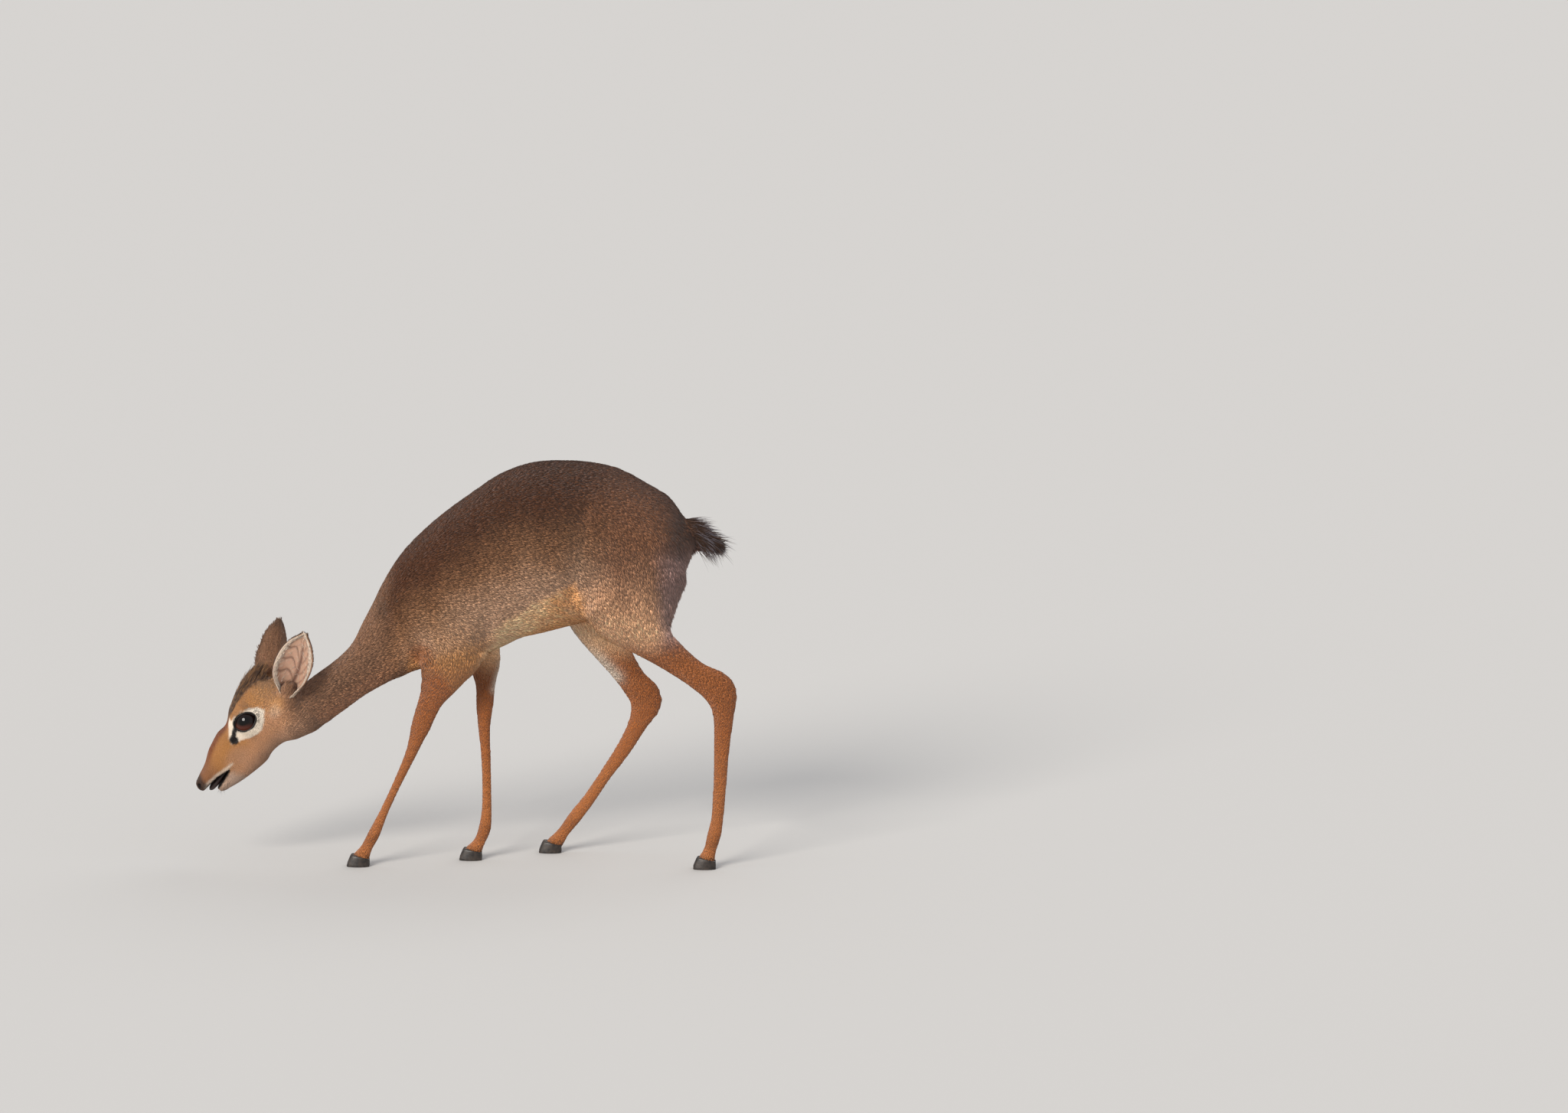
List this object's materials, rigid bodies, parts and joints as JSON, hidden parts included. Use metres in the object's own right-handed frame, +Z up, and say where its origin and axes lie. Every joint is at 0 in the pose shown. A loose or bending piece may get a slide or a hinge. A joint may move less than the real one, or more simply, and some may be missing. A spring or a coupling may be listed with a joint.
{
  "type": "dik dik",
  "caption": "Life-size still model of a dik dik, a dwarf antelope, grazing in mid step with its head low and ears raised.",
  "frame": {"origin": "on the ground under the middle of the animal's bounding box", "axes": "+Z up, head towards -X, tail towards +X, the animal's right side towards +Y"},
  "size_m": [0.549, 0.117, 0.4128],
  "materials": {
    "back_coat": "short grizzled grey-brown hair",
    "face_coat": "short sandy hair, white round the eyes",
    "leg_coat": "short ginger hair",
    "tail_coat": "longer dark hair",
    "ear_skin": "thin skin with sparse hair, dark rim",
    "eye": "wet and glossy",
    "hoof": "worn dark horn"
  },
  "bodies": {
    "root": {"ear_left": "ear_skin", "ear_right": "ear_skin", "eye_left": "eye", "eye_right": "eye", "fore_left_cannon": "leg_coat", "fore_left_hoof_inner": "hoof", "fore_left_hoof_outer": "hoof", "fore_left_lower": "leg_coat", "fore_left_pastern": "leg_coat", "fore_left_upper": "leg_coat", "fore_right_cannon": "leg_coat", "fore_right_hoof_inner": "hoof", "fore_right_hoof_outer": "hoof", "fore_right_lower": "leg_coat", "fore_right_pastern": "leg_coat", "fore_right_upper": "leg_coat", "head": "face_coat", "hind_left_cannon": "leg_coat", "hind_left_hoof_inner": "hoof", "hind_left_hoof_outer": "hoof", "hind_left_lower": "leg_coat", "hind_left_pastern": "leg_coat", "hind_left_upper": "leg_coat", "hind_right_cannon": "leg_coat", "hind_right_hoof_inner": "hoof", "hind_right_hoof_outer": "hoof", "hind_right_lower": "leg_coat", "hind_right_pastern": "leg_coat", "hind_right_upper": "leg_coat", "neck": "back_coat", "tail": "tail_coat", "torso": "back_coat"}
  },
  "joints": []
}
